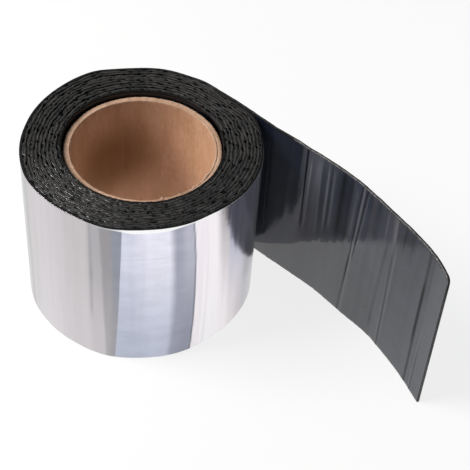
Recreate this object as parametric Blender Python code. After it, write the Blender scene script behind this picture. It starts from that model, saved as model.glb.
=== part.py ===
"""A roll of foil-faced bitumen repair tape on a cardboard core, standing on its end.

Metres, +Z up along the roll's axis. +X is the way in which the free end of the tape leaves the roll.
The origin is on the floor, under the middle of the part's bounding box.
"""

import math

import bmesh
import bpy
from mathutils import Vector

# Tape, wound foil side out
tape_width = 0.100
tape_thickness = 0.0015
turn_gap = 0.00046
turns = 11
groove_depth = 0.0008

# Arc past the free end over which each turn climbs on to the one below it
climb_arc = math.radians(60.0)

# Flat on the roll where the free end leaves: how far its face is from the axis
flat_offset = 0.0595

# Free end: straight off the flat, then curling over with a bend that tightens towards the cut
straight_run = 0.0275
curled_run = 0.1495
curl = math.radians(32.3)

# Cardboard core, a little shorter than the tape is wide
core_bore = 0.076
core_wall = 0.0036
core_recess = 0.0033
core_edge_bevel = 0.0006
core_clearance = 0.0003

# Fineness of the meshes
columns = 60
curl_steps = 24
bevel_steps = 2
smooth_angle = math.radians(30.0)

# What follows from the sizes above
turn_pitch = tape_thickness + turn_gap
core_radius = core_bore / 2.0 + core_wall
first_radius = core_radius + core_clearance
outer_radius = first_radius + tape_thickness + turn_pitch * (turns - 1)
column_angle = math.tau / columns
start_column = math.ceil(climb_arc / column_angle)
winding_steps = turns * columns - start_column
covered_steps = winding_steps - columns


def climbed(angle):
    """Share of the climb on to the next turn that is done at this angle past the free end."""
    share = min(angle / climb_arc, 1.0)
    return share * share * (3.0 - 2.0 * share)


def pressed(angle):
    """Share of its full depth that the winding keeps at this angle from the middle of the flat."""
    if math.cos(angle) <= 0.0:
        return 1.0
    flat_radius = flat_offset / math.cos(angle)
    return min((flat_radius - first_radius) / (outer_radius - first_radius), 1.0)


def on_column(column, radius):
    """Plan point on a column of the wound part. Column 0 is where the free end leaves, at +Y."""
    angle = column * column_angle
    return Vector((radius * math.sin(angle), radius * math.cos(angle), 0.0))


def on_winding(step, gap_share=0.0):
    """Plan point on a turn's foil face, or so far into the gap outside it.

    The steps are columns along the winding from the tape's inner end.
    """
    whole_turns, column = divmod(start_column + step, columns)
    angle = column * column_angle
    turns_below = whole_turns - 1 + climbed(angle)
    depth = tape_thickness + turn_pitch * turns_below + turn_gap * gap_share
    return on_column(column, first_radius + depth * pressed(angle))


def free_end_faces():
    """Plan points of the free end's foil face and of its film face, from the roll to the cut."""
    point = on_winding(winding_steps)
    foil_face = [point]
    film_face = [on_winding(covered_steps, 1.0)]
    strides = [straight_run] + [curled_run / curl_steps] * curl_steps
    for index, stride in enumerate(strides):
        middle = max(index - 0.5, 0.0) / curl_steps
        heading = curl * middle * middle
        point = point + stride * Vector((math.cos(heading), -math.sin(heading), 0.0))
        bend = curl * (index / curl_steps) ** 2
        foil_face.append(point)
        film_face.append(point - tape_thickness * Vector((math.sin(bend), math.cos(bend), 0.0)))
    return foil_face, film_face


def add_wound_end(mesh, height, groove_floor):
    """One end of the wound part: flat turn edges, with a spiral groove between each two turns."""

    def corner(plan_point, level=height):
        return mesh.verts.new((plan_point.x, plan_point.y, level))

    bore = [corner(on_column(column, first_radius)) for column in range(columns)]
    foil = [corner(on_winding(step)) for step in range(winding_steps + 1)]
    film = []
    floor = []
    for step in range(covered_steps + 1):
        level = groove_floor if step > 0 else height
        floor.append(corner(on_winding(step, 0.5), level))
        film.append(corner(on_winding(step, 1.0)))

    def bore_at(step):
        return bore[(start_column + step) % columns]

    for step in range(covered_steps):
        mesh.faces.new((foil[step], foil[step + 1], floor[step + 1], floor[step]))
        mesh.faces.new((floor[step], floor[step + 1], film[step + 1], film[step]))
    for step in range(columns - 1):
        mesh.faces.new((bore_at(step), bore_at(step + 1), foil[step + 1], foil[step]))
    for step in range(columns, winding_steps):
        below = step - columns
        mesh.faces.new((film[below], film[below + 1], foil[step + 1], foil[step]))
    # The first turn's inner end lies here, under the second turn
    inner_end = (foil[0], floor[0], film[0])
    mesh.faces.new((bore_at(columns - 1), bore_at(0), *inner_end, foil[columns], foil[columns - 1]))
    return bore, foil, floor, film


def add_wall(mesh, top, bottom, closed=False):
    """Upright faces between two rows of corners."""
    count = len(top) if closed else len(top) - 1
    for index in range(count):
        following = (index + 1) % len(top)
        mesh.faces.new((top[index], bottom[index], bottom[following], top[following]))


def finished_object(name, mesh, material, parent):
    """Turn a closed mesh into a smooth-shaded object under its parent."""
    data = bpy.data.meshes.new(name)
    bmesh.ops.recalc_face_normals(mesh, faces=mesh.faces)
    mesh.to_mesh(data)
    mesh.free()
    data.materials.append(material)
    data.shade_smooth()
    data.set_sharp_from_angle(angle=smooth_angle)
    made = bpy.data.objects.new(name, data)
    bpy.context.scene.collection.objects.link(made)
    made.parent = parent
    return made


def plain_material(name, colour, roughness, metallic):
    material = bpy.data.materials.new(name)
    material.use_nodes = True
    shader = material.node_tree.nodes["Principled BSDF"]
    shader.inputs["Base Color"].default_value = (*colour, 1.0)
    shader.inputs["Roughness"].default_value = roughness
    shader.inputs["Metallic"].default_value = metallic
    return material


def make_tape(parent, foil_face, film_face):
    """The wound tape and its free end, as one solid with a round bore for the core."""
    mesh = bmesh.new()
    ends = []
    for height, groove_floor in ((tape_width, tape_width - groove_depth), (0.0, groove_depth)):
        bore, foil, floor, film = add_wound_end(mesh, height, groove_floor)
        foil_edge = [foil[-1]]
        film_edge = [film[-1]]
        for foil_point, film_point in zip(foil_face[1:], film_face[1:]):
            foil_edge.append(mesh.verts.new((foil_point.x, foil_point.y, height)))
            film_edge.append(mesh.verts.new((film_point.x, film_point.y, height)))
        for index in range(len(foil_edge) - 1):
            following = index + 1
            mesh.faces.new((foil_edge[index], foil_edge[following], film_edge[following], film_edge[index]))
        ends.append({
            "bore": bore,
            "outer turn": foil[covered_steps:],
            "root": [foil[covered_steps], floor[-1], film[-1]],
            "foil": foil_edge,
            "film": film_edge,
            "cut": [foil_edge[-1], film_edge[-1]],
        })
    top, bottom = ends
    add_wall(mesh, top["bore"], bottom["bore"], closed=True)
    for side in ("outer turn", "foil", "film", "cut"):
        add_wall(mesh, top[side], bottom[side])
    # The narrow face at the bottom of the wedge between the free end and the roll
    mesh.faces.new(top["root"] + bottom["root"][::-1])
    bitumen = plain_material("foil-faced bitumen", (0.52, 0.53, 0.55), 0.35, 0.6)
    return finished_object("tape", mesh, bitumen, parent)


def make_core(parent):
    """A plain paper tube, turned from its section, with its four edges broken."""
    low = core_recess
    high = tape_width - core_recess
    bore_radius = core_bore / 2.0
    mesh = bmesh.new()
    section = ((core_radius, high), (core_radius, low), (bore_radius, low), (bore_radius, high))
    corners = [mesh.verts.new((radius, 0.0, level)) for radius, level in section]
    for index, corner in enumerate(corners):
        mesh.edges.new((corner, corners[(index + 1) % len(corners)]))
    cardboard = plain_material("cardboard", (0.45, 0.28, 0.17), 0.85, 0.0)
    core = finished_object("cardboard_core", mesh, cardboard, parent)
    turning = core.modifiers.new("Turn the section", "SCREW")
    turning.axis = "Z"
    turning.steps = columns
    turning.render_steps = columns
    turning.use_merge_vertices = True
    turning.merge_threshold = 0.00001
    edges = core.modifiers.new("Break the edges", "BEVEL")
    edges.limit_method = "ANGLE"
    edges.angle_limit = smooth_angle
    edges.width = min(core_edge_bevel, core_wall / 3.0)
    edges.segments = bevel_steps
    return core


def main():
    for leftover in list(bpy.data.objects):
        bpy.data.objects.remove(leftover, do_unlink=True)

    foil_face, film_face = free_end_faces()
    outline = foil_face + film_face + [on_winding(step) for step in range(covered_steps, winding_steps + 1)]
    middle_x = (min(point.x for point in outline) + max(point.x for point in outline)) / 2.0
    middle_y = (min(point.y for point in outline) + max(point.y for point in outline)) / 2.0

    roll_axis = bpy.data.objects.new("roll_axis", None)
    roll_axis.location = (-middle_x, -middle_y, 0.0)
    bpy.context.scene.collection.objects.link(roll_axis)
    make_tape(roll_axis, foil_face, film_face)
    make_core(roll_axis)


main()
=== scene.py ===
import math

import bpy
import numpy as np
from mathutils import Matrix, Vector


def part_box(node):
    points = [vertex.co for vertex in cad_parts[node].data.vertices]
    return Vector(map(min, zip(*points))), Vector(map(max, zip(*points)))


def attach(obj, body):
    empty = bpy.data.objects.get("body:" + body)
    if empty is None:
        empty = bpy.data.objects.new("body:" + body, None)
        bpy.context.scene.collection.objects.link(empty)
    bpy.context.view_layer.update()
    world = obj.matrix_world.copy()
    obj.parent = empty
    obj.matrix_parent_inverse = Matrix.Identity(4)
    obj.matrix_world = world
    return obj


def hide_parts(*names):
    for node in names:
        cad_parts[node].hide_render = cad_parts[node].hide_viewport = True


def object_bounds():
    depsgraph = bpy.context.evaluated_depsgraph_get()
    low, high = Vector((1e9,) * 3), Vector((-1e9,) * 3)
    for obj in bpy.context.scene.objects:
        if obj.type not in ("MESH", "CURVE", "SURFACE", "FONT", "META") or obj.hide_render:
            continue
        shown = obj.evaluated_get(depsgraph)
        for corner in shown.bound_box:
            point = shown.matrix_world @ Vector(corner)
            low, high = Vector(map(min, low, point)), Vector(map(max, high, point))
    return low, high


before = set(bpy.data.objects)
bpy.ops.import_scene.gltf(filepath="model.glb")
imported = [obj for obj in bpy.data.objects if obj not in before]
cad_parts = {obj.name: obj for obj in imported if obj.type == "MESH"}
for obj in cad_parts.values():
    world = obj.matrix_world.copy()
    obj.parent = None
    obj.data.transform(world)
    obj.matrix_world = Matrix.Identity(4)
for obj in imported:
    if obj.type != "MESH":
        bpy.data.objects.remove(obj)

solid_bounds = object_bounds()


# Cardboard core
# The real piece is a tube of brown paper plies, wound on the slant and glued, then cut to length with a
# blade that leaves the plies showing and a little torn. The tape is wound straight on to it.
core_low, core_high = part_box("cardboard_core")
roll_x = (core_low.x + core_high.x) / 2.0
roll_y = (core_low.y + core_high.y) / 2.0
core_radius = (core_high.x - core_low.x) / 2.0
core_wall = 0.0036
core_columns = 540
# The core sits this far off the middle of the roll, towards this heading
off_centre = 0.0005
off_heading = math.radians(95.0)
off_x = off_centre * math.sin(off_heading)
off_y = off_centre * math.cos(off_heading)
# Across the wall from the bore, and below the cut end, both in mm
cut_end = ((0.0, 1.8), (0.0, 0.5), (0.16, 0.14), (0.42, 0.0), (0.85, 0.02), (1.06, 0.16), (1.2, 0.40),
           (1.34, 0.20), (1.6, 0.10), (2.2, 0.06), (2.9, 0.12), (3.3, 0.26), (3.5, 0.55), (3.6, 1.0),
           (3.6, 2.4))
# Two plies part between these places across the wall, and the end wavers down to this far below it, in mm
split_inner = 1.05
split_outer = 1.35
wavering_depth = 1.5
# How far the cut ends waver, in long and in short waves, and how fuzzy and ragged they are, in mm
long_waver = 0.08
short_waver = 0.04
fuzziness = 0.05
raggedness = 0.04
# Torn places of the top: degrees round from the free end's root, degrees wide, mm into the bore, mm up
torn_places = ((122.8, 1.3, 1.5, 0.5), (119.5, 0.8, 0.9, 0.2), (94.7, 0.7, 0.9, 0.3),
               (78.4, 2.2, 0.7, 0.5), (81.5, 0.8, 0.5, 0.3), (108.0, 1.6, 0.35, 0.2),
               (205.0, 1.0, 0.3, 0.1), (300.0, 1.2, 0.4, 0.15))
# They reach this far across the wall from the bore, in mm
torn_reach = 1.0
# Painted shade darkens the board inside the tube round this place, fully so within the first distance from it
bore_shade_place = (roll_x - 0.0355, roll_y + 0.0136, 0.055)
full_bore_shade_within = 0.007
bore_shade_within = 0.037


class Wire:
    """An output of a material's node. Arithmetic on it adds Math nodes, and node() adds any other node."""

    def __init__(self, output):
        self.output = output

    def node(self, kind, settings=None, sockets=None, output=0):
        made = self.output.id_data.nodes.new(kind)
        for name, value in (settings or {}).items():
            setattr(made, name, value)
        for name, value in (sockets or {}).items():
            plug(made.inputs[name], value)
        return Wire(made.outputs[output])

    def math(self, operation, *terms):
        return self.node("ShaderNodeMath", {"operation": operation}, dict(enumerate(terms)))

    def __add__(self, other):
        return self.math("ADD", self, other)

    def __sub__(self, other):
        return self.math("SUBTRACT", self, other)

    def __rsub__(self, other):
        return self.math("SUBTRACT", other, self)

    def __mul__(self, other):
        return self.math("MULTIPLY", self, other)

    __radd__ = __add__
    __rmul__ = __mul__

    def away_from(self, point):
        """How far this place is from a point."""
        return self.node("ShaderNodeVectorMath", {"operation": "DISTANCE"}, {0: self, 1: point}, 1)

    def noise(self, scale, detail=2.0, roughness=0.5):
        """Soft noise from 0 to 1 at this vector."""
        sockets = {"Vector": self, "Scale": scale, "Detail": detail, "Roughness": roughness}
        return self.node("ShaderNodeTexNoise", {}, sockets)

    def part(self, index):
        """The x, y or z of this vector."""
        return self.node("ShaderNodeSeparateXYZ", {}, {0: self}, index)

    def scaled(self, share):
        """This colour, made lighter or darker."""
        return self.node("ShaderNodeVectorMath", {"operation": "SCALE"}, {0: self, "Scale": share})

    def stretched(self, x, y, z):
        """This vector, with each part multiplied."""
        return self.node("ShaderNodeVectorMath", {"operation": "MULTIPLY"}, {0: self, 1: (x, y, z)})

    def band(self, low, high, start=0.0, end=1.0):
        """A smooth step of this value, from start at low to end at high."""
        settings = {"interpolation_type": "SMOOTHSTEP"}
        sockets = {"Value": self, "From Min": low, "From Max": high, "To Min": start, "To Max": end}
        return self.node("ShaderNodeMapRange", settings, sockets)

    def span(self, rise, fall):
        """1 where this value is past the rise and before the fall, each two values, and 0 outside them."""
        return self.band(*rise) * self.band(*fall)

    def blend(self, low_colour, high_colour):
        """A colour from low_colour at 0 to high_colour at 1."""
        return self.node("ShaderNodeMix", {"data_type": "RGBA"}, {0: self, 6: low_colour, 7: high_colour}, 2)

    def bump(self, depth):
        """A normal from this height, in shares of the depth in metres."""
        return self.node("ShaderNodeBump", {}, {"Height": self, "Distance": depth})


def plug(socket, value):
    """Link a wire into a socket, or set the socket's value."""
    if isinstance(value, Wire):
        socket.id_data.links.new(value.output, socket)
    elif isinstance(value, tuple) and socket.type == "RGBA":
        socket.default_value = (*value, 1.0)
    else:
        socket.default_value = value


def new_material(name):
    """A material, its shader's sockets, and the wire of the surface's place in metres."""
    material = bpy.data.materials.new(name)
    material.use_nodes = True
    nodes = material.node_tree.nodes
    place = nodes.new("ShaderNodeNewGeometry")
    return material, nodes["Principled BSDF"].inputs, Wire(place.outputs["Position"])


def ripple(draw, angles, lowest, highest, fall=0.7):
    """A closed curve of unit strength that wanders round a turn, in this range of waves to the turn."""
    waves = np.arange(lowest, highest + 1)
    strengths = draw.normal(size=len(waves)) * waves ** -fall
    phases = draw.uniform(0.0, math.tau, len(waves))
    curve = strengths @ np.cos(np.outer(waves, angles) + phases[:, None])
    return curve / np.std(curve)


def hump(places, middle, width):
    """A smooth bump of height 1 at the middle."""
    return np.exp(-((places - middle) / width) ** 2)


def closed_body(name, rings, materials, face_materials, cut_material=None, strip=None, painted_light=None):
    """A closed mesh through rings of points, each ring running round the section of the piece.

    The face materials go with the steps of the section, and the cut material with the two ends, or else the
    rings join up. For each point, the strip holds its place along and up the tape, and the painted light how
    much painted highlight, above 0, or painted shade, below 0, it carries.
    """
    closed_along = cut_material is None
    along, around = rings.shape[:2]
    corner = np.arange(along * around).reshape(along, around)
    following = np.roll(corner, -1, axis=0)
    if not closed_along:
        corner, following = corner[:-1], following[:-1]
    beside = np.roll(corner, -1, axis=1)
    beside_following = np.roll(following, -1, axis=1)
    quads = np.stack([corner, beside, beside_following, following], axis=-1)
    faces = quads.reshape(-1, 4).tolist()
    slots = list(face_materials) * len(corner)
    if not closed_along:
        faces.append(np.arange(around)[::-1].tolist())
        faces.append(((along - 1) * around + np.arange(around)).tolist())
        slots += [cut_material, cut_material]
    data = bpy.data.meshes.new(name)
    data.from_pydata(rings.reshape(-1, 3).tolist(), [], faces)
    for material in materials:
        data.materials.append(material)
    data.polygons.foreach_set("material_index", slots)
    data.shade_smooth()
    if strip is not None:
        corners = np.zeros(len(data.loops), dtype=np.int32)
        data.loops.foreach_get("vertex_index", corners)
        layer = data.uv_layers.new(name="strip")
        layer.uv.foreach_set("vector", strip.reshape(-1, 2)[corners].ravel())
    if painted_light is not None:
        data.attributes.new("painted_light", "FLOAT", "POINT").data.foreach_set("value", painted_light.ravel())
    made = bpy.data.objects.new(name, data)
    bpy.context.scene.collection.objects.link(made)
    return made


def dress(piece, node):
    """Let this piece take the place of a plain solid."""
    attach(piece, "root")
    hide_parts(node)


def make_cardboard():
    material, shader, place = new_material("cardboard")
    fibres = place.stretched(1.0, 1.0, 0.3).noise(900.0, 4.0, 0.6)
    clouds = place.stretched(1.0, 1.0, 0.4).noise(70.0, 3.0, 0.55)
    tone = (fibres * 0.4 + clouds * 0.6).band(0.3, 0.7)
    colour = tone.blend((0.40, 0.214, 0.115), (0.55, 0.33, 0.212))
    # Painted shade on the bore's wall round that place
    bore_shade = place.away_from(bore_shade_place).band(bore_shade_within, full_bore_shade_within)
    plug(shader["Base Color"], bore_shade.blend(colour, (0.20, 0.086, 0.018)))
    shader["Roughness"].default_value = 0.6
    shader["Specular IOR Level"].default_value = 0.2
    plug(shader["Normal"], (fibres * 0.5 + clouds * 0.5).bump(0.0001))
    return material


def make_cut_board():
    material, shader, place = new_material("cut board")
    fibres = place.noise(1800.0, 4.0, 0.65)
    clouds = place.noise(110.0, 2.0)
    tone = (fibres * 0.5 + clouds * 0.5).band(0.32, 0.68)
    plug(shader["Base Color"], tone.blend((0.37, 0.225, 0.145), (0.60, 0.40, 0.285)))
    shader["Roughness"].default_value = 0.85
    shader["Specular IOR Level"].default_value = 0.2
    plug(shader["Normal"], fibres.bump(0.0003))
    return material


def make_core():
    """The tube, lathed from its section. Its cut ends waver, show their plies and are torn in places."""
    draw = np.random.default_rng(7)
    angles = np.arange(core_columns) * math.tau / core_columns
    degrees = np.degrees(angles)
    torn_in = np.zeros(core_columns)
    torn_up = np.zeros(core_columns)
    for middle, width, into_bore, up in torn_places:
        rag = draw.uniform(0.55, 1.0, core_columns)
        torn_in += into_bore * rag * hump(degrees, middle, width)
        torn_up += up * rag * hump(degrees, middle, width)
    points = []
    for end in (1, -1):
        wobble = long_waver * ripple(draw, angles, 2, 14)
        wobble = wobble + short_waver * ripple(draw, angles, 20, 90, 0.2)
        split = 0.55 + 0.45 * ripple(draw, angles, 1, 9)
        for across, below in cut_end[::end]:
            near_end = 1.0 if below < wavering_depth else 0.0
            in_split = 1.0 if split_inner < across < split_outer else 0.0
            near_bore = 1.0 if across < torn_reach and near_end and end == 1 else 0.0
            fuzz = fuzziness * ripple(draw, angles, 30, 200, 0.0)
            ragged = raggedness * ripple(draw, angles, 20, 120, 0.1)
            drop = below * (1.0 + in_split * (split - 1.0)) + near_end * (fuzz - wobble) - near_bore * torn_up
            drift = near_end * ragged - near_bore * torn_in * (torn_reach - across)
            radius = np.minimum(core_radius - core_wall + (across + drift) / 1000.0, core_radius)
            level = core_high.z - drop / 1000.0 if end == 1 else core_low.z + drop / 1000.0
            plan = (roll_x + off_x + radius * np.sin(angles), roll_y + off_y + radius * np.cos(angles))
            points.append(np.stack([*plan, level], -1))
    on_end = [1 if 0 < index < len(cut_end) - 2 else 0 for index in range(len(cut_end))]
    face_materials = on_end[:-1] + [0] + on_end[:-1] + [0]
    rings = np.stack(points, axis=1)
    return closed_body("paper_core", rings[::-1], (make_cardboard(), make_cut_board()), face_materials)


dress(make_core(), "cardboard_core")


# Wound turns
# The real strip is black bitumen, with bright aluminium foil laminated to its outer face and a dark release
# film to its inner face. It is wound foil side out, so the ends show its cut edge, turn on turn.
tape_width = solid_bounds[1].z
tape_thickness = 0.0015
turns = 11
# Each turn climbs on to the one below it over this arc past the free end's root
climb_arc = math.radians(32.0)
columns = 432
column_angle = math.tau / columns
start_column = math.ceil(climb_arc / column_angle)
core_clearance = 0.0003
first_radius = core_radius + core_clearance
outer_radius = roll_y - solid_bounds[0].y
# Below this depth from each end the turns are plain
body_depth = 0.0022
# The roll is a little out of round: degrees round from the free end's root, and mm from the axis
outside = ((0.0, 60.9), (12.0, 61.2), (19.0, 62.4), (25.5, 64.1), (31.0, 63.9), (44.0, 63.3),
           (65.0, 63.7), (88.0, 62.4), (102.0, 61.2), (116.0, 61.7), (135.0, 61.8), (153.0, 63.4),
           (172.0, 62.5), (203.0, 64.2), (240.0, 62.7), (275.0, 63.3), (293.0, 64.2), (303.0, 62.5),
           (313.0, 61.9), (330.0, 62.4), (342.0, 61.3), (351.0, 61.7))
# Away from the side to which the core sits, the hole in the tape is wider by up to twice this
hole_slack = 0.00022
# The gaps between the turns: the least one, and how unevenly the rest of the room is shared out
tightest_gap = 0.00004
unevenness = 0.35
# The seams at the ends: half of their least width, how wide they gape in places, and how far they jitter
seam_half = 0.00001
gape_width = 0.0012
seam_jitter = 0.00006
# How far the cut edges waver in height, in long and in short waves, and how far their bitumen does
edge_waver = 0.00015
edge_jitter = 0.00008
crown_jitter = 0.00006
# The strip's inner end is sunk this far below the turns beside it, and comes up over this many columns
end_sunk = 0.0001
sinking_columns = columns / 8
# Painted shade darkens the bitumen in the valleys between the turns from the first depth below the crown of
# the cut edge on, over the second depth
unshaded_depth = 0.00003
valley_shading_depth = 0.00024
# How dark the shaded bitumen and the shaded film are, from 0 to 1
bitumen_shade = 0.9
film_shade = 0.75
# How many waves make up a wandering curve
wave_count = 60
# The strip's map: the free end starts at 1 along it, this many metres are one more, and the width is 1 up it
map_length = 0.4
# The film is duller above a line that slants up the free end: where it leaves the foot, and how steep it is
dull_foot = 1.0689
dull_slope = 3.12
# How softly that line and the start of the duller film fade in, and how much of the gloss it loses
dull_edge = (-0.04, 0.05)
dull_start = (1.15, 1.19)
dull_loss = 0.52
# The film also loses gloss towards the cut: between these places, and what is left there
gloss_fall = (1.20, 1.42)
gloss_at_cut = 0.6
# The bitumen's lumps are drawn out round the roll, as if it were wound at this radius: the lower, the longer
lump_radius = 0.009
# The cut edge: across from the film face in shares of the thickness, mm below the edge, and the layer there
cut_edge = ((0.0, 0.9, "film"), (0.02, 0.66, "bitumen"), (0.09, 0.36, "bitumen"), (0.24, 0.12, "bitumen"),
            (0.42, 0.0, "bitumen"), (0.60, 0.03, "bitumen"), (0.76, 0.22, "bitumen"), (0.92, 0.48, "bitumen"),
            (0.95, 0.36, "foil"), (1.0, 0.40, "foil"), (1.0, 0.9, "foil"))
plain_edge = ((0.0, 0.9, "film"), (0.09, 0.32, "bitumen"), (0.42, 0.0, "bitumen"), (0.78, 0.16, "bitumen"),
              (0.95, 0.34, "foil"), (1.0, 0.9, "foil"))
layers = ("film", "bitumen", "foil")


def smoothed(values, width):
    """A closed curve, averaged over this many of its points."""
    padded = np.concatenate([values[-width:], values, values[:width]])
    return np.convolve(padded, np.ones(width) / width, "same")[width:-width]


def in_plan(radius, angle):
    """Plan points at this radius and angle. The inner turns are off centre with the core."""
    share = np.clip((outer_radius - radius) / (outer_radius - first_radius), 0.0, 1.0)
    across = roll_x + off_x * share + radius * np.sin(angle)
    return np.stack([across, roll_y + off_y * share + radius * np.cos(angle)], axis=-1)


def level_radii():
    """Radius of the film face of each turn, column by column, with the spare depth shared out unevenly."""
    draw = np.random.default_rng(21)
    angles = np.arange(columns) * column_angle
    degrees, radii = np.array(outside).T
    around = np.interp(np.degrees(angles), degrees, radii / 1000.0, period=360.0)
    hole = first_radius + hole_slack * (1.0 - np.cos(angles - off_heading))
    weights = np.exp(unevenness * np.stack([ripple(draw, angles, 2, 12, 0.4) for _ in range(turns - 1)]))
    spare = smoothed(around, width=9) - hole - turns * tape_thickness - (turns - 1) * tightest_gap
    gaps = tightest_gap + spare * weights / weights.sum(axis=0)
    return np.cumsum(np.vstack([hole, tape_thickness + gaps]), axis=0)


def on_winding(levels, step):
    """Radius of the film face, this number of columns along the winding."""
    turn, column = np.divmod(step, columns)
    share = np.minimum(column * column_angle / climb_arc, 1.0)
    level = np.clip(turn - 1 + share * share * (3.0 - 2.0 * share), 0, turns - 1)
    below = np.minimum(level.astype(int), turns - 2)
    part = level - below
    return (1.0 - part) * levels[below, column] + part * levels[below + 1, column]


def wander(draw, places, longest, shortest, fall=0.5):
    """A wandering curve of unit strength along a strip, with waves between these two lengths."""
    lengths = np.geomspace(longest, shortest, wave_count)
    strengths = draw.normal(size=wave_count) * (lengths / longest) ** fall
    phases = draw.uniform(0.0, math.tau, wave_count)
    curve = strengths @ np.cos(math.tau * places[None, :] / lengths[:, None] + phases[:, None])
    return curve / np.std(curve)


def make_seams(levels, side):
    """The winding's seams at one end: the inner and the outer edge of each, step by step."""
    draw = np.random.default_rng(40 + side)
    step = np.arange(start_column, (turns - 1) * columns + 1)
    foil_face = on_winding(levels, step) + tape_thickness
    room = np.maximum(on_winding(levels, step + columns) - foil_face, 0.0)
    along = np.cumsum(foil_face) * column_angle
    middle = foil_face + room * (0.5 + 0.4 * wander(draw, along, 0.04, 0.006, 0.4))
    middle = middle + seam_jitter * wander(draw, along, 0.009, 0.003, 0.1)
    gape = gape_width * np.clip(wander(draw, along, 0.014, 0.003, 0.3) - 0.45, 0.0, 0.9)
    leaning = np.clip(0.5 + 0.3 * wander(draw, along, 0.03, 0.004), 0.0, 1.0)
    return middle - gape * leaning - seam_half, middle + gape * (1.0 - leaning) + seam_half


def strip_section(heights, over, under):
    """The section of the strip as a loop: up the film face, over the top, down the foil face and underneath.

    Each entry holds the share across, the height, which edge it belongs to (or 0) and the layer.
    """
    up_film = [(0.0, height, 0, "film") for height in heights]
    over_top = [(across, tape_width - below / 1000.0, 1, layer) for across, below, layer in over]
    down_foil = [(1.0, height, 0, "foil") for height in heights[::-1]]
    underneath = [(across, below / 1000.0, -1, layer) for across, below, layer in under[::-1]]
    return up_film + over_top + down_foil + underneath


def valley_shade(height):
    """How dark the painted shade makes the bitumen in the valleys between the turns, from 0 on the crown of
    the cut edge to 1.
    """
    below = min(height, tape_width - height)
    return min(max((below - unshaded_depth) / valley_shading_depth, 0.0), 1.0)


def painted_light_of(place):
    """The painted light that the mesh holds: painted highlight above 0 and painted shade below 0."""
    return place.node("ShaderNodeAttribute", {"attribute_name": "painted_light"}, output=2)


def map_of(place):
    """The place along and up the strip."""
    return place.node("ShaderNodeUVMap", {"uv_map": "strip"})


def make_film():
    material, shader, place = new_material("release film")
    painted_light = painted_light_of(place)
    clouds = place.noise(90.0, 3.0, 0.6)
    colour = clouds.band(0.35, 0.7).blend((0.006, 0.0085, 0.017), (0.010, 0.0145, 0.026))
    # Painted shade where the mesh's painted light is below 0, and a painted highlight where it is above 0
    colour = colour.scaled(painted_light.band(-1.0, 0.0, 0.15, 1.0))
    plug(shader["Base Color"], painted_light.band(0.0, 1.0).blend(colour, (0.11, 0.11, 0.12)))
    strip = map_of(place)
    along = strip.part(0)
    above_line = strip.part(1) - (along - dull_foot) * dull_slope
    duller = above_line.band(*dull_edge) * along.band(*dull_start)
    gloss = along.band(*gloss_fall, 1.0, gloss_at_cut) * (1.0 - duller * dull_loss)
    plug(shader["Coat Weight"], painted_light.band(-1.0, 0.0, 0.15, 1.0) * gloss)
    shader["Roughness"].default_value = 0.4
    shader["Specular IOR Level"].default_value = 0.1
    shader["Coat Roughness"].default_value = 0.06
    shader["Coat IOR"].default_value = 1.8
    plug(shader["Normal"], place.stretched(1.0, 1.0, 0.3).noise(160.0, 2.0).bump(0.0001))
    return material


def make_bitumen():
    material, shader, place = new_material("bitumen")
    painted_light = painted_light_of(place)
    roll_axis = (roll_x, roll_y, 0.0)
    from_axis = place.node("ShaderNodeVectorMath", {"operation": "SUBTRACT"}, {0: place, 1: roll_axis})
    flat = from_axis.stretched(1.0, 1.0, 0.0)
    heading = flat.node("ShaderNodeVectorMath", {"operation": "NORMALIZE"}, {0: flat}).scaled(lump_radius)
    distance = flat.away_from((0.0, 0.0, 0.0))
    wound = {0: heading.part(0), 1: heading.part(1), 2: distance + place.part(2)}
    lumps = place.node("ShaderNodeCombineXYZ", {}, wound).noise(1300.0, 3.0, 0.6)
    clouds = place.noise(130.0, 3.0, 0.6)
    specks = place.noise(1300.0, 1.0).band(0.74, 0.79)
    colour = (lumps * 0.5 + clouds * 0.5).band(0.3, 0.7).blend((0.016, 0.0155, 0.015), (0.067, 0.0645, 0.062))
    colour = (specks * 0.6).blend(colour, (0.30, 0.29, 0.28))
    # Painted shade and painted glints from the mesh's painted light scale the bitumen's colour
    plug(shader["Base Color"], colour.scaled(painted_light.band(-1.0, 0.0, 0.12, 1.0) + painted_light.band(0.0, 1.0, 0.0, 4.0)))
    plug(shader["Roughness"], place.noise(300.0, 2.0).band(0.3, 0.7, 0.28, 0.5) - painted_light * 0.45)
    shader["Specular IOR Level"].default_value = 0.17
    plug(shader["Normal"], lumps.bump(0.00035))
    return material


def make_edge_foil():
    material, shader, place = new_material("foil edge")
    tone = place.noise(500.0, 3.0).band(0.35, 0.65)
    plug(shader["Base Color"], tone.blend((0.06, 0.06, 0.06), (0.40, 0.40, 0.41)))
    shader["Metallic"].default_value = 0.8
    shader["Roughness"].default_value = 0.4
    return material


film = make_film()
bitumen = make_bitumen()
winding = level_radii()
seams = {side: make_seams(winding, side) for side in (1, -1)}


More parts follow.
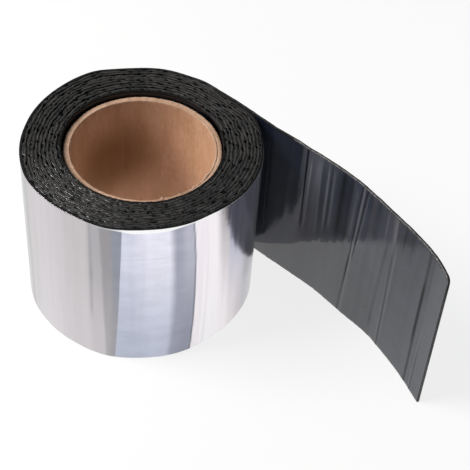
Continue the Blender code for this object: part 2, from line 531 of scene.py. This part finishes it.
def make_wound_turns():
    """The ten inner turns, from the strip's inner end to where the outer turn starts."""
    draw = np.random.default_rng(21)
    step = np.arange(start_column, (turns - 1) * columns + 1)
    angle = step * column_angle
    face = on_winding(winding, step)
    along = np.cumsum(face) * column_angle
    hole = winding[0][step % columns]
    inner = {}
    lift = {}
    for side in (1, -1):
        below = np.concatenate([hole[:columns], seams[side][1][:-columns]])
        inner[side] = np.where(step < columns + start_column, hole, below)
        lift[side] = edge_waver * wander(draw, along, 0.3, 0.03)
        lift[side] = lift[side] + edge_jitter * wander(draw, along, 0.02, 0.003, 0.2)
    sunk = np.clip((start_column + columns - step) / sinking_columns, 0.0, 1.0)
    section = strip_section((body_depth, tape_width - body_depth), cut_edge, plain_edge)
    rings = np.zeros((len(step), len(section), 3))
    painted_light_grid = np.zeros((len(step), len(section)))
    for index, (across, height, side, layer) in enumerate(section):
        radius = face + across * tape_thickness
        level = np.full(len(step), height)
        if side:
            radius = inner[side] + across * (seams[side][0] - inner[side])
            level = level + lift[side] - side * end_sunk * sunk
            if layer == "bitumen":
                level = level + crown_jitter * wander(draw, along, 0.010, 0.0025, 0.1)
                # Painted shade in the valleys between the turns and on the sunk inner end
                painted_light_grid[:, index] = -np.maximum(valley_shade(height), bitumen_shade * sunk)
        if layer == "film":
            painted_light_grid[:, index] = -film_shade
        rings[:, index, :2] = in_plan(radius, angle)
        rings[:, index, 2] = np.maximum(level, 0.0)
    face_layers = [layers.index(entry[3]) for entry in section]
    materials = (film, bitumen, make_edge_foil())
    return closed_body("wound_turns", rings, materials, face_layers, layers.index("bitumen"), painted_light=painted_light_grid)


dress(make_wound_turns(), "tape")


# Outer turn and free end
# The real strip goes on from the wound turns: once more round the roll, then off it in a straight run that
# curls over towards its square cut. It stands on its edge, held up by its own stiffness.
straight_run = 0.0275
curled_run = 0.1495
curl = math.radians(32.3)
flat_offset = solid_bounds[1].y - roll_y
# The mesh's steps along the free end, and its rows up the strip's faces
stride = 0.0005
face_rows = 30
# How far the free end strays from that course: mm from the root, and mm outwards, at its top and at its foot
astray_top = ((0, 1.4), (12, 1.45), (20, 1.2), (34, 0.2), (42, -0.35), (60, -0.1), (65, -0.4), (75, 0.0),
              (90, 0.4), (100, 0.45), (112, -0.3), (127, -0.85), (140, -0.3), (158, 0.5), (168, 0.1),
              (177, -0.6))
astray_foot = ((0, 1.4), (12, 1.45), (20, 1.2), (38, 0.4), (46, 0.1), (65, 0.0), (81, 0.4), (92, -0.1),
               (105, -0.6), (112, -0.2), (125, 0.75), (139, 0.2), (160, 0.05), (170, 0.1), (177, 0.6))
# Its edges waver in height by this much
outer_waver = 0.0001
# It also shivers by so many mm, from none at the root to all of it this many mm on, and less at its foot
shiver_size = 0.04
shiver_run = 15.0
shiver_at_foot = 0.4
# Creases: their places at the top and at the foot, the heights where they fade out, how far they push the
# strip outwards and how wide they are, all in mm
creases = ((41.0, 42.0, 5, 112, 0.12, 0.8), (66.5, 67.6, 25, 112, -0.12, 0.8),
           (81.4, 82.6, 32, 112, 0.10, 0.8), (85.2, 86.6, 40, 112, 0.12, 0.8),
           (105.4, 102.8, -12, 112, 0.12, 1.0), (107.2, 105.5, 60, 112, -0.10, 0.6),
           (127.6, 125.0, -12, 80, -0.12, 1.0), (131.5, 133.2, -12, 112, -0.16, 1.0),
           (158.4, 161.4, -12, 112, -0.20, 1.0), (165.5, 167.8, -12, 45, -0.12, 0.7))
# Painted highlights and painted shade on the film, along its creases and folds, and broader patches of
# painted reflection: their middles at the top and at the foot, half of their width, the heights where they
# fade out, all in mm, and how bright they are, or dark if below 0
painted_film_marks = ((40.0, 42.4, 0.8, 10, 98, 0.25), (64.0, 64.0, 1.7, 34, 110, 0.45),
         (66.1, 67.6, 0.7, 34, 112, -1.0), (69.0, 69.0, 0.6, 36, 100, 0.6),
         (74.0, 76.0, 3.4, 32, 105, 0.33), (77.0, 81.0, 1.2, 44, 98, -0.4),
         (80.6, 82.8, 0.7, 44, 104, 0.42), (82.6, 84.6, 0.8, 44, 98, -0.4),
         (84.4, 86.8, 1.1, 46, 105, 0.55), (93.6, 93.6, 5.6, 46, 108, -0.62),
         (101.6, 97.8, 1.7, 50, 104, 0.38), (103.8, 101.2, 0.9, -12, 50, -0.45),
         (103.9, 102.0, 0.35, 20, 110, -1.0), (105.4, 102.9, 0.8, -12, 112, 0.4),
         (107.9, 102.6, 0.4, 40, 110, -1.0), (109.2, 104.0, 0.7, 50, 108, 0.3),
         (116.0, 116.0, 5.0, 64, 106, -0.3), (124.7, 124.7, 1.2, 72, 106, 0.3),
         (127.9, 126.6, 0.7, 14, 70, 0.3), (128.0, 124.6, 1.4, 0, 84, -0.4),
         (130.2, 137.0, 1.9, 72, 108, 0.45), (131.2, 133.8, 1.1, -12, 84, -0.5),
         (134.2, 134.9, 0.7, -12, 84, 0.35), (141.5, 141.5, 6.5, 78, 106, -0.42),
         (158.0, 161.2, 1.2, -12, 112, -0.55), (158.8, 160.0, 1.0, 30, 80, -0.6),
         (160.8, 163.6, 2.2, -12, 112, -0.25), (162.4, 163.4, 0.9, -12, 70, 0.35),
         (164.6, 167.9, 0.8, -12, 40, -0.5))
# Creases and marks fade out over this height, in mm
fade_height = 12.0
# Fine painted streaks of highlight and shade between them: how many, and the stretch of the free end that has
# them, in mm
streak_count = 40
streaks_from = 44.0
streaks_to = 170.0
# The same creases for the foil on the roll, and painted marks of highlight, shade and reflection on it, in
# degrees round from the root
roll_creases = ((86.0, 84.0, 40, 112, -0.08, 1.2), (112.5, 112.2, -12, 112, 0.10, 0.5),
                (146.3, 149.6, -12, 112, -0.10, 1.2), (161.4, 160.6, 20, 112, 0.05, 0.8))
painted_roll_marks = ((71.0, 68.0, 8.0, 20, 66, -0.6), (96.2, 95.0, 0.25, 88, 112, 0.8),
              (106.0, 105.0, 1.2, -12, 112, -0.12), (112.7, 112.4, 0.45, -12, 112, -0.9),
              (161.0, 161.0, 1.5, 56, 70, -0.3), (161.6, 160.8, 0.8, 25, 112, -0.35))
# Round this place on the roll they bow sideways at half height: how far, where and how wide, in degrees
bow = 2.0
bow_middle = 112.0
bow_width = 24.0
# How much wider the outer turn is at its foot than at its top: degrees round from the root, and mm
spread = ((0.0, 0.0), (86.0, 0.0), (104.0, 1.0), (114.0, 1.5), (132.0, 1.6), (144.0, 1.2), (156.0, 1.0),
          (170.0, 1.4), (180.0, 0.8), (192.0, 0.0), (208.0, -0.4), (240.0, -0.4), (265.0, 0.0),
          (360.0, 0.0))
# The free end's top corner is rounded off, which bends the rows above this height down
corner_radius = 0.003
corner_foot = 0.088
# The crown of the top edge has a painted glint from so many mm along the free end on, on the film's side of
# this share across the strip, and the bitumen has painted shade on the foil's side of the other share; the
# last is the faintest that the painted glint gets
glinting_from = 55.0
glinting_side = 0.3
shaded_side = 0.4
faintest_glint = 0.3
# Painted reflections on the foil round the roll, in bands of tone where what it mirrors changes: places at
# the top and at the foot and half the softness, all in degrees round from the root, and the tones from there
# on at the top and at the foot
first_reflection_tone = (0.52, 0.52, 0.56)
reflection_tones = ((52.0, 52.0, 4.0, (0.92, 0.93, 1.0), (0.50, 0.49, 0.52)),
         (69.0, 68.0, 3.0, (0.62, 0.65, 0.84), (0.50, 0.49, 0.53)),
         (76.0, 76.0, 4.0, (0.66, 0.67, 0.85), (0.66, 0.62, 0.66)),
         (84.0, 82.0, 3.0, (0.55, 0.56, 0.73), (0.83, 0.78, 0.80)),
         (92.5, 88.0, 2.0, (0.64, 0.60, 0.63), (0.98, 0.93, 0.96)),
         (98.5, 95.0, 2.5, (1.0, 0.95, 0.99), (1.0, 0.97, 1.0)),
         (107.0, 108.0, 1.5, (0.93, 0.88, 0.93), (0.92, 0.87, 0.91)),
         (112.5, 112.2, 0.3, (0.49, 0.49, 0.58), (0.30, 0.31, 0.385)),
         (118.0, 119.0, 2.5, (0.38, 0.39, 0.475), (0.33, 0.34, 0.42)),
         (123.4, 124.0, 2.0, (0.81, 0.80, 0.91), (0.51, 0.54, 0.65)),
         (138.0, 138.0, 5.0, (0.66, 0.67, 0.79), (0.46, 0.49, 0.59)),
         (146.3, 149.6, 0.3, (0.28, 0.30, 0.36), (0.345, 0.34, 0.365)),
         (150.5, 151.5, 1.5, (0.32, 0.31, 0.325), (0.40, 0.39, 0.405)),
         (156.8, 154.0, 1.0, (0.42, 0.41, 0.43), (0.55, 0.52, 0.54)),
         (162.4, 161.5, 2.0, (0.555, 0.53, 0.545), (0.59, 0.565, 0.585)),
         (178.0, 176.0, 5.0, (0.615, 0.58, 0.61), (0.635, 0.61, 0.635)),
         (196.0, 196.0, 4.0, (0.55, 0.52, 0.54), (0.56, 0.54, 0.56)),
         (203.0, 203.0, 3.0, (0.335, 0.33, 0.335), (0.305, 0.30, 0.305)),
         (222.0, 222.0, 8.0, (0.60, 0.59, 0.60), (0.60, 0.59, 0.60)),
         (255.0, 250.0, 9.0, (0.76, 0.74, 0.76), (0.66, 0.66, 0.70)),
         (292.0, 293.0, 2.0, (0.46, 0.47, 0.51), (0.52, 0.52, 0.55)),
         (318.0, 315.0, 8.0, (0.64, 0.63, 0.64), (0.64, 0.63, 0.64)))
# The painted highlight of the top edge's lip, where it bulges, the mottling, the painted shade of the wrinkle
# across the foil and the darker top edge: each rises over the first two places and falls over the others, in
# degrees round from the root
lip_highlight_span = ((62.0, 80.0), (165.0, 140.0))
bulge_span = ((112.0, 130.0), (152.0, 140.0))
mottle_span = ((110.0, 120.0), (156.0, 146.0))
wrinkle_shade_span = ((121.0, 126.0), (148.0, 145.0))
dark_edge_rise = (160.0, 175.0)
# Their heights, in shares of the tape's width, and how much deeper the lip's painted highlight is where it
# bulges
lip_highlight_height = (0.984, 0.992)
bulge_depth = 0.018
wrinkle_shade_height = ((0.772, 0.782), (0.792, 0.782))
dark_edge_height = (0.990, 0.996)


def free_end_course():
    """Points of the foil face, outward directions and lengths from the root, along the free end's course."""
    lengths = np.arange(stride, straight_run + curled_run + stride / 2.0, stride)
    middle = np.clip(lengths - stride / 2.0 - straight_run, 0.0, None) / curled_run
    heading = curl * middle * middle
    across = np.cumsum(np.cos(heading)) * stride
    inward = np.cumsum(np.sin(heading)) * stride
    points = np.stack([roll_x + across, roll_y + flat_offset - inward], axis=-1)
    bend = curl * (np.clip(lengths - straight_run, 0.0, None) / curled_run) ** 2
    return points, np.stack([np.sin(bend), np.cos(bend)], axis=-1), lengths


def between(height, lowest, highest):
    """Share of a crease's or mark's strength at this height, in mm, where it fades out at its two ends."""
    above = min(max((height - lowest) / fade_height, 0.0), 1.0)
    below = min(max((highest - height) / fade_height, 0.0), 1.0)
    return above * below


def from_middle(places, height, at_top, at_foot):
    """How far the places are from the middle of a crease or mark at this height in mm."""
    return places - at_foot - (at_top - at_foot) * height / (tape_width * 1000.0)


def pushed(places, height, table):
    """How many mm the creases of this table push the strip outwards, place by place, at this height in mm."""
    push = np.zeros(len(places))
    for at_top, at_foot, lowest, highest, depth, width in table:
        away = np.abs(from_middle(places, height, at_top, at_foot)) / width
        push += depth * between(height, lowest, highest) * np.exp(-away)
    return push


def marked(places, height, table):
    """How much the painted marks of this table brighten or darken the strip, place by place, at this height
    in mm.
    """
    painted_light = np.zeros(len(places))
    for at_top, at_foot, width, lowest, highest, shine in table:
        away = from_middle(places, height, at_top, at_foot) / width
        painted_light += shine * between(height, lowest, highest) * np.exp(-away ** 4)
    return np.clip(painted_light, -1.0, 1.0)


def make_foil():
    material, shader, place = new_material("aluminium foil")
    strip = map_of(place)
    painted_light = painted_light_of(place)
    degrees = strip.part(0) * 360.0
    height = strip.part(1)
    rolled = place.stretched(1.0, 1.0, 0.06).noise(260.0, 3.0, 0.6)
    dimples = place.stretched(0.35, 0.35, 1.0).noise(120.0, 2.0)
    sway = place.stretched(1.0, 1.0, 0.15).noise(120.0, 4.0, 0.6) - 0.5
    # Painted reflections: bands of tone round the roll that stand in for what the foil mirrors
    colour = first_reflection_tone
    for at_top, at_foot, softness, high_tone, low_tone in reflection_tones:
        past = degrees + sway * (1.2 * softness + 0.5) - height * (at_top - at_foot)
        tone = height.band(0.1, 0.9).blend(low_tone, high_tone)
        colour = past.band(at_foot - softness, at_foot + softness).blend(colour, tone)
    # A painted highlight along the foil's top edge
    lip_highlight = (height + degrees.span(*bulge_span) * bulge_depth).band(*lip_highlight_height) * degrees.span(*lip_highlight_span)
    mottle = place.stretched(0.6, 0.6, 1.8).noise(85.0, 3.0, 0.55).band(0.3, 0.7, -0.05, 0.05)
    mottle = mottle * degrees.span(*mottle_span)
    # Painted shade along a wrinkle across the foil
    wrinkle_shade = (height + sway * 0.02).span(*wrinkle_shade_height) * degrees.span(*wrinkle_shade_span)
    # The foil's top edge is made darker past these places
    dark_top_edge = height.band(*dark_edge_height) * degrees.band(*dark_edge_rise)
    # The shine adds the painted marks, and takes away the wrinkle's painted shade and the darker top edge
    shine = rolled.band(0.25, 0.75, 0.97, 1.03) + mottle - wrinkle_shade * 0.07 + painted_light * 0.5 - dark_top_edge * 0.5
    colour = colour.scaled(shine)
    # The lip's painted highlight is near white over the foil's colour
    plug(shader["Base Color"], lip_highlight.blend(colour, (0.97, 0.97, 0.97)))
    shader["Metallic"].default_value = 1.0
    plug(shader["Roughness"], rolled.band(0.3, 0.7, 0.14, 0.24))
    plug(shader["Normal"], (rolled * 0.5 + dimples * 0.5).bump(0.00016))
    return material


def make_outer_turn():
    """The eleventh turn and the free end, from the end of the wound turns to the cut."""
    draw = np.random.default_rng(15)
    step = np.arange((turns - 1) * columns, turns * columns + 1)
    angle = step * column_angle
    outward = np.stack([np.sin(angle), np.cos(angle)], axis=-1)
    on_roll = in_plan(on_winding(winding, step) + tape_thickness, angle)
    points, facing, lengths = free_end_course()
    points = np.vstack([on_roll, points])
    facing = np.vstack([outward, facing])
    along = np.concatenate([(angle - angle[-1]) * outer_radius, lengths]) * 1000.0
    off_roll = along > 0.0
    degrees = np.degrees(angle - angle[0])
    rows = np.linspace(body_depth, tape_width - body_depth, face_rows)
    section = strip_section(rows, cut_edge, plain_edge)
    rings = np.zeros((len(points), len(section), 3))
    strip = np.zeros((len(points), len(section), 2))
    painted_light_grid = np.zeros((len(points), len(section)))
    top = np.interp(along, *np.array(astray_top).T) * off_roll
    foot = np.interp(along, *np.array(astray_foot).T) * off_roll
    lift = outer_waver * wander(draw, along / 1000.0, 0.2, 0.02)
    wider = smoothed(np.interp(degrees, *np.array(spread).T), width=21)
    near_cut = np.clip((along / 1000.0 - straight_run - curled_run) / corner_radius + 1.0, 0.0, 1.0)
    rounded_off = corner_radius * (1.0 - np.sqrt(1.0 - near_cut * near_cut))
    shiver = shiver_size * wander(draw, along / 1000.0, 0.02, 0.004, 0.8)
    shiver = shiver * np.clip(along / shiver_run, 0.0, 1.0)
    painted_streaks = []
    for place in draw.uniform(streaks_from, streaks_to, streak_count):
        foot_place = place + draw.normal(1.0, 1.0)
        shine = draw.choice([-1.0, 1.0]) * draw.uniform(0.05, 0.2)
        painted_streaks.append((place, foot_place, draw.uniform(0.3, 1.2), draw.uniform(-12.0, 80.0), 112.0, shine))
    for index, (across, height, side, layer) in enumerate(section):
        share = height / tape_width
        millimetres = height * 1000.0
        # Painted highlights and painted shade of the film's marks and streaks
        painted_light = marked(along[off_roll], millimetres, painted_film_marks + tuple(painted_streaks))
        push = pushed(along[off_roll], millimetres, creases)
        bowed = degrees + bow * 4.0 * share * (1.0 - share) * hump(degrees, bow_middle, bow_width)
        push = np.concatenate([pushed(bowed, millimetres, roll_creases) + wider * (1.0 - share), push])
        shivering = shiver * (shiver_at_foot + (1.0 - shiver_at_foot) * share)
        astray = foot + (top - foot) * share + shivering + push
        painted_light_grid[:, index] = np.concatenate([marked(bowed, millimetres, painted_roll_marks), painted_light])
        level = np.full(len(points), height)
        if side:
            level = np.maximum(level + lift, 0.0)
            if layer == "bitumen":
                level = level + crown_jitter * wander(draw, along / 1000.0, 0.012, 0.003, 0.1)
                level = np.maximum(level, 0.0)
                painted_light_grid[:, index] = -max(valley_shade(height), bitumen_shade if across > shaded_side else 0.0)
                # Painted glints along the crown of the free end's top edge
                if side > 0 and across < glinting_side:
                    glints = np.clip(wander(draw, along / 1000.0, 0.006, 0.0012, 0.1) - 0.6, 0.0, 1.0)
                    glints = faintest_glint + (1.0 - faintest_glint) * glints
                    painted_light_grid[:, index] = np.where(along > glinting_from, glints, painted_light_grid[:, index])
        depth = (1.0 - across) * tape_thickness
        shift = astray / 1000.0 - depth
        if side:
            under = seams[side][1][step - columns - start_column]
            gap = on_winding(winding, step) - under
            shift[:len(step)] -= (1.0 - across) * gap
        rings[:, index, :2] = points + facing * shift[:, None]
        level = level - rounded_off * np.clip((height - corner_foot) / (tape_width - corner_foot), 0.0, 1.0)
        rings[:, index, 2] = level
        strip[:, index, 0] = np.concatenate([bowed / 360.0, 1.0 + lengths / map_length])
        strip[:, index, 1] = level / tape_width
    face_layers = [layers.index(entry[3]) for entry in section]
    materials = (film, bitumen, make_foil())
    cut = layers.index("bitumen")
    return closed_body("outer_turn_and_free_end", rings, materials, face_layers, cut, strip, painted_light_grid)


dress(make_outer_turn(), "tape")


# Floor, light and camera
# A plain pale floor that glows a little, like a light table, and soft light from large panels. The camera
# stands where the photograph's stood.
floor_size = 6.0
# How strongly the floor glows, and how many times as strongly inside the roll, to so far from its outer face
floor_glow = 0.82
bore_glow = 1.55
glow_inset = 0.004
# The panels' size, how far they are from the roll and the height that they aim at
panel_size = 0.9
panel_distance = 1.7
panel_aim = 0.05
sky_tone = (0.88, 0.93, 1.0, 1.0)
sky_strength = 0.14
camera_place = (0.27401, -0.35815, 0.54858)
camera_heading = math.radians(-36.242)
camera_pitch = math.radians(46.555)
camera_tilt = math.radians(5.057)
camera_lens = 96.96


def make_floor():
    """The floor glows by itself, as if lit evenly from all round, and more in the roll's bore."""
    half = floor_size / 2.0
    data = bpy.data.meshes.new("floor")
    corners = [(-half, -half, 0.0), (half, -half, 0.0), (half, half, 0.0), (-half, half, 0.0)]
    data.from_pydata(corners, [], [(0, 1, 2, 3)])
    floor = bpy.data.objects.new("floor", data)
    material, shader, place = new_material("floor")
    tone = place.noise(3.0).band(0.3, 0.7)
    plug(shader["Base Color"], tone.blend((0.145, 0.145, 0.145), (0.155, 0.155, 0.155)))
    shader["Roughness"].default_value = 0.9
    shader["Specular IOR Level"].default_value = 0.1
    past_bore = place.away_from((roll_x, roll_y, 0.0)).band(core_radius, outer_radius - glow_inset)
    plug(shader["Emission Color"], past_bore.blend((bore_glow, bore_glow, bore_glow), (1.0, 1.0, 1.0)))
    shader["Emission Strength"].default_value = floor_glow
    data.materials.append(material)
    bpy.context.scene.collection.objects.link(floor)


def pointing(heading, raised):
    """The direction at this heading round from +Y and this far up from the level, both in radians."""
    level = math.cos(raised)
    return Vector((math.sin(heading) * level, math.cos(heading) * level, math.sin(raised)))


def add_panel(name, heading, height, power, colour):
    """A square softbox that faces the roll, seen from it at this heading and height, both in degrees."""
    light = bpy.data.lights.new(name, "AREA")
    light.size = panel_size
    light.energy = power
    light.color = colour
    panel = bpy.data.objects.new(name, light)
    towards = pointing(math.radians(heading), math.radians(height))
    panel.location = Vector((roll_x, roll_y, panel_aim)) + panel_distance * towards
    panel.rotation_mode = "QUATERNION"
    panel.rotation_quaternion = (-towards).to_track_quat("-Z", "Y")
    bpy.context.scene.collection.objects.link(panel)


def make_camera():
    direction = pointing(camera_heading, -camera_pitch)
    right = direction.cross(Vector((0.0, 0.0, 1.0))).normalized()
    up = right.cross(direction)
    tilted_right = math.cos(camera_tilt) * right + math.sin(camera_tilt) * up
    tilted_up = math.cos(camera_tilt) * up - math.sin(camera_tilt) * right
    data = bpy.data.cameras.new("camera")
    data.lens = camera_lens
    data.sensor_width = 36.0
    camera = bpy.data.objects.new("camera", data)
    camera.rotation_mode = "QUATERNION"
    camera.rotation_quaternion = Matrix((tilted_right, tilted_up, -direction)).transposed().to_quaternion()
    camera.location = camera_place
    bpy.context.scene.collection.objects.link(camera)
    bpy.context.scene.camera = camera


make_floor()
add_panel("key_panel", heading=228.0, height=46.0, power=42.0, colour=(1.0, 0.98, 0.96))
add_panel("side_panel", heading=55.0, height=40.0, power=2.0, colour=(0.90, 0.95, 1.0))
make_camera()

world = bpy.data.worlds.new("studio")
world.use_nodes = True
background = world.node_tree.nodes["Background"]
background.inputs["Color"].default_value = sky_tone
background.inputs["Strength"].default_value = sky_strength
bpy.context.scene.world = world
bpy.context.scene.view_settings.view_transform = "Standard"
